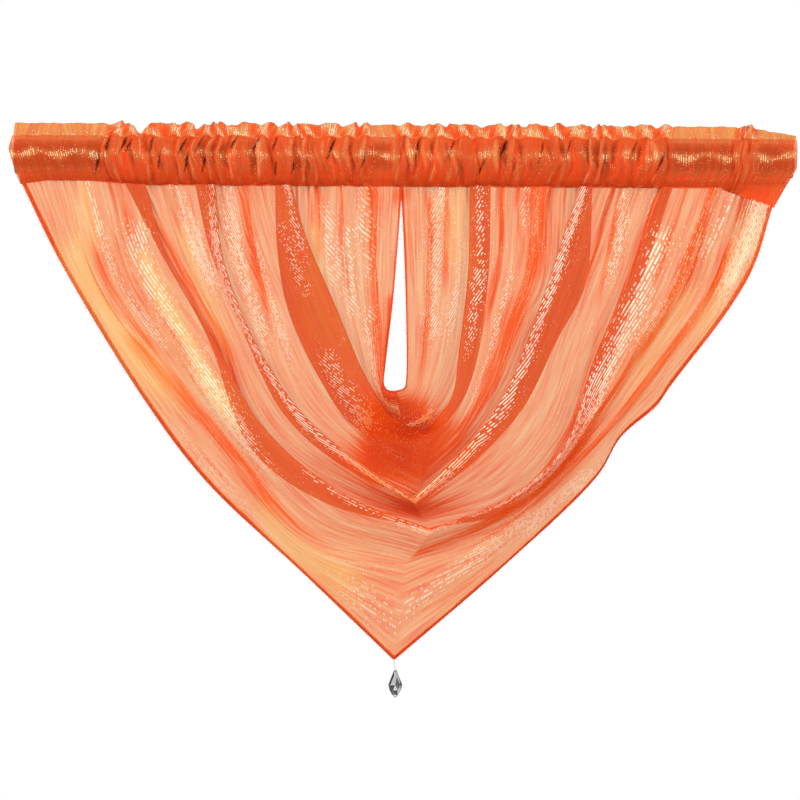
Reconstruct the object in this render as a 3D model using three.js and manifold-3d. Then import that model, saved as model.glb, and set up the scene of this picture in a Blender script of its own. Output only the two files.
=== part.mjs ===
// Sheer swag curtain hanging on its rod, with a glass drop at the point of the hem.
// Millimetres, +Z up. The front of the curtain faces -Y and +X is the viewer's right.
// The origin is the middle of the rod's axis.

import * as THREE from 'three';
import { ConvexGeometry } from 'three/addons/geometries/ConvexGeometry.js';
import { mergeVertices } from 'three/addons/utils/BufferGeometryUtils.js';
import Module from 'manifold-3d';

const { cos, sin, PI, abs, min, max } = Math;

// Driving dimensions of the rod and the gathered heading
const ROD_RADIUS = 12.5;
const ROD_LENGTH = 554;
const POCKET_CLEARANCE = 1.4;
const WALL = 1.3;
const GATHER_DEPTH = 4.5;
const STITCH_Z = 15.2;
const FRILL_TOP = 24.2;
const RIBBON_HALF = 0.8;
const RIBBON_WAVE = 2.6;

// Driving dimensions of the draped cloth
const CLOTH = 1.1;
const HEM_THICKNESS = 1.8;
const HEM_BAND = 0.06;
const TURN_AT_SEAM = 1.4;
const TURN_AT_BEAK = 2.4;
const SEAM_GAP = 0.7;
const NECK_LAP = 1.5;

// Driving dimensions of the glass drop and its thread
const DROP_HOLE_Z = -365.9;
const DROP_X = -4;
const DROP_HOLE_RADIUS = 0.7;
const THREAD_RADIUS = 0.25;
const THREAD_GAP = 0.3;
const DROP_FACETS = 8;

// The height of the heading's lower edge: [x, z]
const LOWER_EDGE = [[-281, -21], [-255, -17.2], [-225, -17.2], [-190, -20.2], [225, -20.2], [264, -33.6], [281, -38]];

// Where the heading ends on each side: [z, x]
const LEFT_END = [[-34, -270], [-21, -273], [4, -280.4], [24, -277.3]];
const RIGHT_END = [[-34, 263.8], [-7, 278.4], [18, 279.6], [24, 279.6]];

// Stretches of the heading and the number of gathers in each: [from x, to x, gathers]
const STRETCHES = [
  [-281, -216, 0],
  [-216, -24, 16],
  [-24, -8, 0],
  [-8, 190, 16],
  [190, 236, 0],
  [236, 252, 1],
  [252, 281, 0],
];

// Fold lines of the drape, from the neck edge out to the hem. On a trough line the cloth turns
// back behind the fold, and on a rim line it turns forward over it. Each arm runs from the
// heading down to the lowest point (x, z); head and low are the line's y at its two ends.
const FOLD_LINES = [
  {
    name: 'neck edge', head: 0, low: 8,
    left: [[-1.2], [-2.4, -37], [-7.3, -101], [-12.8, -150], [-12.6, -161]],
    lowest: [-5.8, -166],
    right: [[-2.4], [-0.9, -38], [2, -101], [2.7, -157], [1.4, -163.5]],
  },
  {
    name: 'trough A', turn: true, head: 2.4, low: 4,
    left: [[-92], [-90, -66], [-82, -109], [-59, -158], [-35, -191]],
    lowest: [2, -203],
    right: [[62], [61, -81], [53, -143], [43, -172], [27, -192]],
  },
  {
    name: 'rim A', turn: true, head: -3.2, low: -12,
    left: [[-80], [-69, -57], [-50, -101], [-25, -158], [-7, -184]],
    lowest: [16, -196],
    right: [[47], [46, -81], [40, -136], [35, -170], [26, -183]],
  },
  {
    name: 'trough B', turn: true, head: 2.4, low: -2,
    left: [[-149], [-138, -66], [-115, -122], [-86, -181], [-48, -216]],
    lowest: [12, -246],
    right: [[135], [130, -89], [110, -129], [85, -179], [49, -218]],
  },
  {
    name: 'rim B', turn: true, head: -3.2, low: -22,
    left: [[-134], [-128, -72], [-107, -127], [-70, -183], [-32, -215]],
    lowest: [7, -241],
    right: [[125], [92, -119], [71, -169], [48, -201], [28, -222]],
  },
  {
    name: 'trough C', turn: true, head: 2.4, low: -9,
    left: [[-199], [-175, -65], [-139, -129], [-108, -207], [-56, -245]],
    lowest: [18, -264],
    right: [[192], [172, -80], [146, -148], [123, -209], [82, -249]],
  },
  {
    name: 'rim C', turn: true, head: -3.2, low: -32,
    left: [[-184], [-167, -75], [-132, -134], [-99, -191], [-42, -238]],
    lowest: [21, -263],
    right: [[184], [161, -84], [134, -147], [114, -204], [78, -238]],
  },
  {
    name: 'soft valley D', head: 1.5, low: -19,
    left: [[-241], [-221, -87], [-181, -146], [-128, -207], [-72, -270]],
    lowest: [3, -288],
    right: [[244], [221, -93], [185, -145], [131, -210], [72, -262]],
  },
  {
    name: 'hem', head: 0, low: -12,
    left: [[-272.5], [-244, -76], [-181, -177], [-139, -231], [-68, -297]],
    lowest: [-5, -356.8],
    right: [[263], [250, -75], [233, -105], [190, -162], [181, -175], [155, -198], [139, -225], [72, -290]],
  },
];

// Minor pleats along the arms. panel is the stretch of cloth that the pleat lies in, from 0
// beside the neck edge to 4 beside the hem; at is its share of the way across that panel, push
// its depth towards the back, width its half width in shares, reach how far down the arm it runs.
const PLEATS = [
  { side: -1, panel: 0, at: 0.24, push: 2.6, width: 0.10, reach: 0.95 },
  { side: -1, panel: 0, at: 0.46, push: -2.2, width: 0.12, reach: 0.75 },
  { side: -1, panel: 0, at: 0.70, push: 2.4, width: 0.10, reach: 0.60 },
  { side: -1, panel: 1, at: 0.60, push: 2.2, width: 0.14, reach: 0.55 },
  { side: -1, panel: 2, at: 0.55, push: -2.4, width: 0.16, reach: 0.80 },
  { side: -1, panel: 3, at: 0.50, push: -2.4, width: 0.16, reach: 0.90 },
  { side: 1, panel: 0, at: 0.38, push: 3.2, width: 0.10, reach: 0.95 },
  { side: 1, panel: 0, at: 0.64, push: -2.0, width: 0.12, reach: 0.70 },
  { side: 1, panel: 1, at: 0.36, push: 2.2, width: 0.12, reach: 0.50 },
  { side: 1, panel: 1, at: 0.66, push: -2.4, width: 0.14, reach: 0.65 },
  { side: 1, panel: 2, at: 0.50, push: 2.4, width: 0.14, reach: 0.50 },
  { side: 1, panel: 3, at: 0.50, push: -2.6, width: 0.18, reach: 0.90 },
];

// Grid of the drape: the stops that each panel begins at, its steps, and the steps down an arm
const PANEL_STOPS = [0, 6, 12, 18, 19];
const PANEL_STEPS = [9, 7, 6, 6, 5];
const STEPS_DOWN_ARM = 20;

// Station spacing along the heading, where it is flat and where it is gathered
const FLAT_STEP = 12;
const GATHER_STEP = 4.4;
const OUTER_ANGLES = [-60, -30, 0, 30, 60];
const CAVITY_SIDES = 12;

const clamp = (value, low, high) => min(max(value, low), high);
const mix = (a, b, f) => a + (b - a) * f;
const smooth = (f) => f * f * (3 - 2 * f);
const degrees = (angle) => angle * PI / 180;

// Straight-line reading of a short table of [key, value] rows
function readTable(table, key) {
  for (let i = 1; i < table.length; i++) {
    const [k0, v0] = table[i - 1];
    const [k1, v1] = table[i];
    if (key <= k1 || i === table.length - 1) return mix(v0, v1, clamp((key - k0) / (k1 - k0), 0, 1));
  }
}

// The gather at x: crest is 0 in a valley and 1 on a ridge, sway leans the cloth to and fro
function gatherAt(x) {
  const [from, to, count] = STRETCHES.find((row) => x <= row[1]) ?? STRETCHES.at(-1);
  if (count === 0) return { crest: 0.15, sway: 0 };
  const along = clamp((x - from) / (to - from), 0, 1);
  const uneven = 0.3 * sin(along * 17) + 0.2 * sin(along * 41 + 1);
  const phase = along * count + uneven * sin(along * PI);
  const size = 0.75 + 0.25 * sin(phase * 2.1 + 0.6);
  return { crest: size * (0.5 - 0.5 * cos(2 * PI * phase)) ** 0.8, sway: size * sin(2 * PI * phase) };
}

// Height of the frill's top edge, scalloped by the gathers, with one deep notch
function frillTop(x) {
  const { crest, sway } = gatherAt(x);
  const notch = 8 * Math.exp(-(((x + 189) / 4) ** 2));
  const rightFall = 6 * clamp((x - 245) / 35, 0, 1);
  return FRILL_TOP + 1.6 * (crest - 0.4) - 0.6 * sway - notch - rightFall;
}

// A mesh from points and faces
function meshFrom(name, points, faces, material) {
  const geometry = new THREE.BufferGeometry();
  geometry.setAttribute('position', new THREE.Float32BufferAttribute(points.flat(), 3));
  geometry.setIndex(faces.flat());
  geometry.computeVertexNormals();
  const mesh = new THREE.Mesh(geometry, material);
  mesh.name = name;
  return mesh;
}

// Two triangles for each cell of a grid of point numbers. From column turnAt on, the cell is
// split along its other diagonal, so that the two faces of a thin wall are split alike.
function gridFaces(rows, closed, turnAt = Infinity) {
  const faces = [];
  for (let i = 1; i < rows.length; i++) {
    const count = rows[i].length;
    for (let j = 0; j < (closed ? count : count - 1); j++) {
      const k = (j + 1) % count;
      const [a, b, c, d] = [rows[i - 1][j], rows[i][j], rows[i][k], rows[i - 1][k]];
      if (j < turnAt) faces.push([a, b, c], [a, c, d]);
      else faces.push([a, b, d], [b, c, d]);
    }
  }
  return faces;
}

// Rod: a plain bar with flat ends, which the pocket slides over
function makeRod() {
  const geometry = new THREE.CylinderGeometry(ROD_RADIUS, ROD_RADIUS, ROD_LENGTH, 48);
  geometry.rotateZ(PI / 2);
  const material = new THREE.MeshStandardMaterial({ color: 0x55504c, roughness: 0.3, metalness: 0.9 });
  const mesh = new THREE.Mesh(geometry, material);
  mesh.name = 'rod';
  return mesh;
}

// The true x of a point at height z on the station x: the two ends of the heading are slanted
function slantedX(x, z) {
  const first = STRETCHES[0][0];
  const last = STRETCHES.at(-1)[1];
  return mix(readTable(LEFT_END, z), readTable(RIGHT_END, z), (x - first) / (last - first));
}

// Height of the lower edge on the station x, found by going back and forth to the slanted x
function lowerEdgeOn(x) {
  let lower = readTable(LOWER_EDGE, x);
  for (let i = 0; i < 12; i++) lower = mix(lower, readTable(LOWER_EDGE, slantedX(x, lower)), 0.6);
  return lower;
}

// One section of the heading at station x: the outer loop and the cavity loop, both as [y, z]
function headingSection(x) {
  const { crest, sway } = gatherAt(x);
  const bulge = GATHER_DEPTH * crest;
  const ribbonY = RIBBON_WAVE * sway;
  const lower = lowerEdgeOn(x);
  const cavityTop = STITCH_Z - WALL;
  const cavityBottom = max(lower + 2.6, -17);
  const middle = (cavityTop + cavityBottom) / 2;
  const rise = (cavityTop - cavityBottom) / 2;
  const reach = ROD_RADIUS + POCKET_CLEARANCE + bulge;
  const wall = (angle, sign) => [
    sign * (reach + WALL) * cos(degrees(angle)),
    middle + (rise + WALL) * sin(degrees(angle)),
  ];
  const front = OUTER_ANGLES.map((angle) => wall(angle, -1));
  const back = OUTER_ANGLES.map((angle) => wall(angle, 1)).reverse();
  const frillLean = 1.5 * ribbonY;
  const outer = [
    [ribbonY - RIBBON_HALF, lower],
    ...front,
    [-RIBBON_HALF, STITCH_Z],
    [frillLean - RIBBON_HALF, frillTop(x)],
    [frillLean + RIBBON_HALF, frillTop(x)],
    [RIBBON_HALF, STITCH_Z],
    ...back,
    [ribbonY + RIBBON_HALF, lower],
  ];
  const cavity = [];
  for (let i = 0; i < CAVITY_SIDES; i++) {
    const angle = degrees(-90 - i * 360 / CAVITY_SIDES);
    cavity.push([reach * cos(angle), middle + rise * sin(angle)]);
  }
  return { outer, cavity };
}

// Stations along the heading: close together in the gathers and wide apart where it is flat
function headingStations() {
  const stations = [STRETCHES[0][0]];
  for (const [from, to, count] of STRETCHES) {
    const steps = Math.ceil((to - from) / (count ? GATHER_STEP : FLAT_STEP));
    for (let i = 1; i <= steps; i++) stations.push(mix(from, to, i / steps));
  }
  return stations;
}

// Heading: rod pocket with a stitched frill above and the seam below, open at both ends
function makeHeading() {
  const points = [];
  const outerRows = [];
  const cavityRows = [];
  for (const x of headingStations()) {
    const { outer, cavity } = headingSection(x);
    const place = ([y, z]) => {
      points.push([slantedX(x, z), y, z]);
      return points.length - 1;
    };
    outerRows.push(outer.map(place));
    cavityRows.push(cavity.map(place));
  }
  const faces = [
    ...gridFaces(outerRows, true, OUTER_ANGLES.length + 3),
    ...gridFaces(cavityRows, true).map(([a, b, c]) => [a, c, b]),
    ...endFaces(points, outerRows[0], cavityRows[0]).map(([a, b, c]) => [a, c, b]),
    ...endFaces(points, outerRows.at(-1), cavityRows.at(-1)),
  ];
  const material = new THREE.MeshStandardMaterial({ color: 0xdb582f, roughness: 0.55, metalness: 0 });
  return meshFrom('heading', points, faces, material);
}

// End of the pocket: the flat ring between the outer loop and the cavity loop
function endFaces(points, outer, cavity) {
  const flat = (i) => new THREE.Vector2(points[i][1], points[i][2]);
  const triangles = THREE.ShapeUtils.triangulateShape(outer.map(flat), [cavity.map(flat).reverse()]);
  const numbers = [...outer, ...[...cavity].reverse()];
  return triangles.map((triangle) => triangle.map((i) => numbers[i]));
}

// The two arms of each fold line as curves from the heading to the lowest point
function armCurves(side) {
  return FOLD_LINES.map((line) => {
    const [[headX], ...below] = side < 0 ? line.left : line.right;
    const corners = [[headX, readTable(LOWER_EDGE, headX) - SEAM_GAP], ...below, line.lowest];
    const path = corners.map(([x, z]) => new THREE.Vector3(x, 0, z));
    const curve = new THREE.CatmullRomCurve3(path, false, 'centripetal');
    curve.arcLengthDivisions = 400;
    return curve;
  });
}

const ARMS = { '-1': armCurves(-1), 1: armCurves(1) };

// Radius of the cloth's turns, growing from the heading to the lowest point
const turnRadius = (down) => mix(TURN_AT_SEAM, TURN_AT_BEAK, down);

// The stops of the cloth's cross-section at one share of the way down an arm. A fold's turn is
// three stops: where the cloth reaches it, its outermost point, and where the cloth leaves it.
const stopCache = new Map();
function stopsAt(side, down) {
  const key = `${side} ${down}`;
  if (stopCache.has(key)) return stopCache.get(key);
  const spots = ARMS[side].map((curve, line) => {
    const { x, z } = curve.getPointAt(down);
    return new THREE.Vector3(x, mix(FOLD_LINES[line].head, FOLD_LINES[line].low, smooth(down)), z);
  });
  const stops = [];
  spots.forEach((spot, line) => {
    if (!FOLD_LINES[line].turn) {
      stops.push(spot);
      return;
    }
    const towards = (other) => {
      const way = new THREE.Vector3(other.x - spot.x, 0, other.z - spot.z);
      const radius = min(turnRadius(down), 0.4 * way.length());
      return way.setLength(radius).add(spot);
    };
    const reach = towards(spots[line - 1]);
    const leave = towards(spots[line + 1]);
    reach.y += turnRadius(down);
    leave.y -= turnRadius(down);
    stops.push(reach, spot, leave);
  });
  stopCache.set(key, stops);
  return stops;
}

// Depth of the minor pleats at a share of the way across one panel of cloth between two folds
function pleatDepth(side, panel, along, down) {
  let depth = 0;
  for (const pleat of PLEATS) {
    if (pleat.side !== side || pleat.panel !== panel) continue;
    const across = (along - pleat.at) / pleat.width;
    const fade = clamp(1 - down / pleat.reach, 0, 1);
    depth += pleat.push * Math.exp(-across * across) * smooth(min(1, fade * 2));
  }
  return depth * smooth(clamp(along / 0.12, 0, 1)) * smooth(clamp((1 - along) / 0.12, 0, 1));
}

// A point of the drape between two stops. across runs from -1 at the left end of the heading
// over 0 at the lowest points to 1 at the right end.
function drapePoint(stop, along, across) {
  const side = across < 0 ? -1 : 1;
  const down = 1 - abs(across);
  const stops = stopsAt(side, down);
  const heads = stopsAt(side, 0);
  const [a, b] = [stops[stop], stops[min(stop + 1, stops.length - 1)]];
  const [headA, headB] = [heads[stop], heads[min(stop + 1, heads.length - 1)]];
  const seamZ = readTable(LOWER_EDGE, mix(headA.x, headB.x, along)) - SEAM_GAP;
  const toSeam = (seamZ - mix(headA.z, headB.z, along)) * clamp(1 - down / 0.15, 0, 1);
  const panel = PANEL_STOPS.indexOf(stop);
  const lap = stop === 0 ? side * NECK_LAP * (1 - along) * clamp(1 - down / 0.14, 0, 1) : 0;
  const ease = panel < 0 ? along : smooth(along);
  const pleats = panel < 0 ? 0 : pleatDepth(side, panel, along, down);
  return new THREE.Vector3(
    mix(a.x, b.x, along),
    mix(a.y, b.y, ease) + pleats + lap,
    mix(a.z, b.z, along) + toSeam,
  );
}

// The grid rows of the drape, from the neck edge to the hem, as [stop, share of the way on]
function gridRows() {
  const rows = [[0, 0], [0, HEM_BAND]];
  const stopCount = stopsAt(1, 0).length;
  for (let stop = 0; stop < stopCount - 1; stop++) {
    const panel = PANEL_STOPS.indexOf(stop);
    const steps = panel < 0 ? 1 : PANEL_STEPS[panel];
    for (let i = stop ? 0 : 1; i < steps; i++) rows.push([stop, i / steps]);
  }
  rows.push([stopCount - 2, 1 - HEM_BAND], [stopCount - 2, 1]);
  return rows;
}

// Middle of the cloth at each grid point, and its normal towards the front from the neighbours
function drapeGrid() {
  const grid = gridRows().map(([stop, along]) => {
    const row = [];
    for (let j = -STEPS_DOWN_ARM; j <= STEPS_DOWN_ARM; j++) row.push(drapePoint(stop, along, j / STEPS_DOWN_ARM));
    return row;
  });
  const direction = (before, here, after) => {
    const way = new THREE.Vector3();
    if (before) way.add(here.clone().sub(before).normalize());
    if (after) way.add(after.clone().sub(here).normalize());
    return way;
  };
  const normals = grid.map((row, i) => row.map((here, j) => {
    const outward = direction(grid[i - 1]?.[j], here, grid[i + 1]?.[j]);
    const rightward = direction(row[j - 1], here, row[j + 1]);
    const normal = outward.cross(rightward);
    if (j === 0 || j === row.length - 1) normal.z = 0;
    return normal.normalize();
  }));
  return { grid, normals };
}

// Swag: one thin cloth from the seam to the hem, with its three overlapping folds
function makeSwag() {
  const points = [];
  const { grid, normals } = drapeGrid();
  const layer = (sign) => grid.map((row, i) => row.map((middle, j) => {
    const edge = i === 0 || i === grid.length - 1;
    const half = (edge ? HEM_THICKNESS : CLOTH) / 2;
    points.push(middle.clone().addScaledVector(normals[i][j], sign * half).toArray());
    return points.length - 1;
  }));
  const fronts = layer(1);
  const backs = layer(-1);
  const rim = (front, back) => gridFaces([back, front], false);
  const column = (rows, j) => rows.map((row) => row.at(j));
  const faces = [
    ...gridFaces(fronts, false),
    ...gridFaces(backs, false).map(([a, b, c]) => [a, c, b]),
    ...rim(fronts[0], backs[0]),
    ...rim(backs.at(-1), fronts.at(-1)),
    ...rim(column(backs, 0), column(fronts, 0)),
    ...rim(column(fronts, -1), column(backs, -1)),
  ];
  const material = new THREE.MeshStandardMaterial({
    color: 0xf0a070, roughness: 0.6, metalness: 0, transparent: true, opacity: 0.7, side: THREE.DoubleSide,
  });
  return meshFrom('swag_cloth', points, faces, material);
}

// A closed geometry as a solid for cutting, and a cut solid as a geometry again
function toSolid(wasm, geometry) {
  const bare = geometry.clone();
  bare.deleteAttribute('normal');
  bare.deleteAttribute('uv');
  const merged = mergeVertices(bare, 1e-4);
  return new wasm.Manifold(new wasm.Mesh({
    numProp: 3,
    vertProperties: new Float32Array(merged.attributes.position.array),
    triVerts: new Uint32Array(merged.index.array),
  }));
}

function fromSolid(solid) {
  const mesh = solid.getMesh();
  const geometry = new THREE.BufferGeometry();
  geometry.setAttribute('position', new THREE.BufferAttribute(new Float32Array(mesh.vertProperties), 3));
  geometry.setIndex(new THREE.BufferAttribute(new Uint32Array(mesh.triVerts), 1));
  geometry.computeVertexNormals();
  return geometry;
}

// Glass drop: a faceted teardrop hung from a hole drilled front to back near its narrow top
async function makeDrop() {
  const wasm = await Module();
  wasm.setup();
  // Rings of corners, each turned half a facet from the one above: [height from the hole, radius]
  const rings = [[2, 0.9], [-2.2, 2.7], [-8.4, 5], [-12, 4.4], [-15.5, 2.2], [-17.6, 0.3]];
  const corners = [];
  rings.forEach(([height, radius], ring) => {
    for (let i = 0; i < DROP_FACETS; i++) {
      const angle = 2 * PI * (i + (ring % 2) / 2) / DROP_FACETS;
      corners.push(new THREE.Vector3(radius * cos(angle), radius * sin(angle), height));
    }
  });
  const hole = new THREE.CylinderGeometry(DROP_HOLE_RADIUS, DROP_HOLE_RADIUS, 12, 16);
  const solid = toSolid(wasm, new ConvexGeometry(corners)).subtract(toSolid(wasm, hole));
  const material = new THREE.MeshStandardMaterial({ color: 0xc9ccd2, roughness: 0.05, metalness: 0 });
  const mesh = new THREE.Mesh(fromSolid(solid), material);
  mesh.name = 'crystal_drop';
  mesh.position.set(DROP_X, hemPoint().y, DROP_HOLE_Z);
  return mesh;
}

// The lowest point of the hem, where the thread is sewn on
function hemPoint() {
  return stopsAt(1, 1).at(-1).clone();
}

// Drop thread: a fine clear loop from the point of the hem down through the drop's hole
function makeThread() {
  const tip = hemPoint();
  const top = tip.z - THREAD_GAP - DROP_HOLE_Z;
  const bearing = DROP_HOLE_RADIUS - THREAD_RADIUS - THREAD_GAP;
  const lean = tip.x - DROP_X;
  const half = [[0, 0, bearing], [0, 1.5, bearing + 0.1], [0, 2.5, 1.2], [lean * 0.4, 1.9, 4], [lean, 0.5, top]];
  const frontLeg = half.map(([x, y, z]) => new THREE.Vector3(x, -y, z)).reverse();
  const backLeg = half.slice(1).map(([x, y, z]) => new THREE.Vector3(x, y, z));
  const path = new THREE.CatmullRomCurve3([...frontLeg, ...backLeg]);
  const section = new THREE.Shape().absarc(0, 0, THREAD_RADIUS, 0, 2 * PI);
  const geometry = new THREE.ExtrudeGeometry(section, { steps: 24, curveSegments: 4, extrudePath: path });
  const material = new THREE.MeshStandardMaterial({ color: 0xe8e8e8, roughness: 0.2, metalness: 0 });
  const mesh = new THREE.Mesh(geometry, material);
  mesh.name = 'drop_thread';
  mesh.position.set(DROP_X, tip.y, DROP_HOLE_Z);
  return mesh;
}

const curtain = new THREE.Group();
curtain.add(makeRod(), makeHeading(), makeSwag(), makeThread(), await makeDrop());

export default curtain;
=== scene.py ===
# Sheer swag curtain on its rod: the looks of every piece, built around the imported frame.
# Sizes are in millimetres and are turned into metres when a mesh is made.
import math

import bpy
import numpy as np
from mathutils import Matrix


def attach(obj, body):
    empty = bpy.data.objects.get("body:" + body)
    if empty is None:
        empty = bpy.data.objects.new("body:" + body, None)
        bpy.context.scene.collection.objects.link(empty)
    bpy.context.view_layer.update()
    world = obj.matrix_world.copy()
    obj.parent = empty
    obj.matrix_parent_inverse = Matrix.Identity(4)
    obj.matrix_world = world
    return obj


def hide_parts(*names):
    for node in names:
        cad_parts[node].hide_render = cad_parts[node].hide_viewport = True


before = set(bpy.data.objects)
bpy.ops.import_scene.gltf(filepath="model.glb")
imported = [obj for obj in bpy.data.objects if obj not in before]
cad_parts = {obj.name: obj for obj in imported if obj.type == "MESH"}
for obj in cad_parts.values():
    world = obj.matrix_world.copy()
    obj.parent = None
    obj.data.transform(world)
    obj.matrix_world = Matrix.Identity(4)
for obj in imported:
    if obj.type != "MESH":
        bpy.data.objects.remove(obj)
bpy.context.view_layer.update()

MM = 0.001
PI = math.pi
rng = np.random.default_rng(7)

# Rod, pocket and frill
ROD_RADIUS = 12.5
WALL = 1.3
STITCH_Z = 15.2
FRILL_TOP = 24.2
RIBBON_HALF = 0.6
RIBBON_WAVE = 2.6

# Gathered cloth: nearest it comes to the rod, how far its folds stand out and how far they lie over,
# and how far the frill waves to and fro and leans sideways
POCKET_CLEARANCE = 0.8
GATHER_DEPTH = 7.0
GATHER_LEAN = 0.55
FRILL_WAVE = 3.4
FRILL_SLANT = 0.35
HEADING_STATIONS = 620

# Draped cloth: radius of its turns, how far its top edge reaches up between the pocket's layers, and
# how far the neck edges move apart at the heading, one to the front and one to the back
TURN_AT_SEAM = 1.4
TURN_AT_BEAK = 2.4
SEAM_LAP = 0.6
NECK_LAP = 1.5

# Sewn edges and stitches
HEM_WIDTH = 3.0
NECK_WIDTH = 1.2
OVERLOCK_PITCH = 2.1
OVERLOCK_RADIUS = 0.22
FIBRE_RADIUS = 0.12
STITCH_LENGTH = 1.5
STITCH_RADIUS = 0.28
TOP_STITCH_PITCH = 2.6
SEAM_STITCH_PITCH = 2.4

# Weave, and the spacing of the metallic threads and of the dashes along them
WARP_PITCH = 0.55
WEFT_PITCH = 0.6
GLINT_SPACING = 1.6
DASH_PITCH = 1.9

# Camera and floor: places in metres, the lens in millimetres and the roll in degrees
CAMERA_PLACE = (-0.0018, -2.2, -0.1723)
CAMERA_LENS = 138.8
CAMERA_ROLL = -0.33
FLOOR_RADIUS = 4.5
FLOOR_HEIGHT = -1.6

# Height of the heading's lower edge: (x, z), and where it ends on each side: (z, x)
LOWER_EDGE = [
    (-281, -21),
    (-255, -17.2),
    (-225, -17.2),
    (-190, -20.2),
    (225, -20.2),
    (264, -33.6),
    (281, -38),
]
LEFT_END = [(-34, -270), (-21, -273), (4, -280.4), (24, -277.3)]
RIGHT_END = [(-34, 263.8), (-7, 278.4), (18, 279.6), (24, 279.6)]

# Stretches of the heading and the number of gathers in each: (from x, to x, gathers)
STRETCHES = [
    (-281, -216, 0),
    (-216, -24, 16),
    (-24, -8, 0),
    (-8, 190, 16),
    (190, 236, 0),
    (236, 252, 1),
    (252, 281, 0),
]

# Painted shade: dark gaps painted on the cloth between the gathers, standing for the dark rod that shows
# there: (x, z, half width, half height)
PAINTED_GAP_SHADES = [
    (-218, -5, 2.2, 8),
    (-209, 9, 1.8, 6),
    (-200, 8, 2.0, 6),
    (-195, 7, 1.6, 5),
    (-179, 8, 2.2, 6),
    (-172, -1, 1.4, 8),
    (-157, 7, 2.4, 6),
    (-155, -5, 1.8, 7),
    (-145, 8, 1.8, 6),
    (-143, -7, 1.6, 6),
    (-120, 10, 2.6, 5),
    (-106, 8, 2.0, 6),
    (-93, 8, 1.6, 6),
    (-91, -9, 1.6, 5),
    (-80, -9, 1.4, 4),
    (-51, 6, 2.0, 8),
    (-30, -4, 1.4, 7),
    (10, 6, 1.6, 8),
    (32, 4, 1.8, 8),
    (56, -6, 1.4, 6),
    (70, 7, 2.2, 7),
    (96, 3, 1.4, 8),
    (118, 8, 1.6, 6),
    (141, -5, 1.6, 7),
    (163, 6, 1.6, 7),
    (182, -3, 1.6, 8),
]

# Fold lines of the drape, from the neck edge out to the hem: each arm runs from the heading down
# to the lowest point as (x, z), and head and low are the line's y at its two ends.
FOLD_LINES = [
    {
        "turn": False, "head": 0, "low": 8,
        "left": [(-1.2,), (-2.4, -37), (-7.3, -101), (-12.8, -150), (-13.6, -160), (-11.4, -164.8)],
        "lowest": (-5.8, -166),
        "right": [(-2.4,), (-0.9, -38), (2, -101), (2.7, -157), (1.4, -163.5)],
    },
    {
        "turn": True, "head": 2.4, "low": 4,
        "left": [(-92,), (-90, -66), (-82, -109), (-59, -158), (-35, -191)],
        "lowest": (2, -203),
        "right": [(62,), (61, -81), (53, -143), (43, -172), (27, -192)],
    },
    {
        "turn": True, "head": -3.2, "low": -12,
        "left": [(-80,), (-69, -57), (-50, -101), (-25, -158), (-7, -184)],
        "lowest": (16, -196),
        "right": [(47,), (46, -81), (40, -136), (35, -170), (26, -183)],
    },
    {
        "turn": True, "head": 2.4, "low": -2,
        "left": [(-149,), (-138, -66), (-115, -122), (-86, -181), (-48, -216)],
        "lowest": (12, -246),
        "right": [(135,), (130, -89), (110, -129), (85, -179), (49, -218)],
    },
    {
        "turn": True, "head": -3.2, "low": -22,
        "left": [(-134,), (-128, -72), (-107, -127), (-70, -183), (-32, -215)],
        "lowest": (7, -241),
        "right": [(125,), (92, -119), (71, -169), (48, -201), (28, -222)],
    },
    {
        "turn": True, "head": 2.4, "low": -9,
        "left": [(-199,), (-175, -65), (-139, -129), (-108, -207), (-56, -245)],
        "lowest": (18, -264),
        "right": [(192,), (172, -80), (146, -148), (123, -209), (82, -249)],
    },
    {
        "turn": True, "head": -3.2, "low": -32,
        "left": [(-184,), (-167, -75), (-132, -134), (-99, -191), (-42, -238)],
        "lowest": (21, -263),
        "right": [(184,), (161, -84), (134, -147), (114, -204), (78, -238)],
    },
    {
        "turn": False, "head": 1.5, "low": -19,
        "left": [(-241,), (-221, -87), (-181, -146), (-128, -207), (-72, -270)],
        "lowest": (3, -288),
        "right": [(244,), (221, -93), (185, -145), (131, -210), (72, -262)],
    },
    {
        "turn": False, "head": 0, "low": -12,
        "left": [(-272.5,), (-244, -76), (-181, -177), (-139, -231), (-68, -297)],
        "lowest": (-5, -356.8),
        "right": [
            (263,), (250, -75), (233, -105), (190, -162), (181, -175), (155, -198), (139, -225), (72, -290),
        ],
    },
]

# Minor pleats along the arms: side, panel (0 beside the neck edge to 4 beside the hem), at (its
# share of the way across the panel), push (depth towards the back), width (half width in shares)
# and reach (how far down the arm it runs).
PLEATS = [
    (-1, 0, 0.24, 2.6, 0.10, 0.95),
    (-1, 0, 0.46, -2.2, 0.12, 0.75),
    (-1, 0, 0.70, 2.4, 0.10, 0.60),
    (-1, 1, 0.60, 2.2, 0.14, 0.55),
    (-1, 2, 0.55, -2.4, 0.16, 0.80),
    (-1, 3, 0.50, -2.4, 0.16, 0.90),
    (1, 0, 0.38, 3.2, 0.10, 0.95),
    (1, 0, 0.64, -2.0, 0.12, 0.70),
    (1, 1, 0.36, 2.2, 0.12, 0.50),
    (1, 1, 0.66, -2.4, 0.14, 0.65),
    (1, 2, 0.50, 2.4, 0.14, 0.50),
    (1, 3, 0.50, -2.6, 0.18, 0.90),
]

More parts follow.
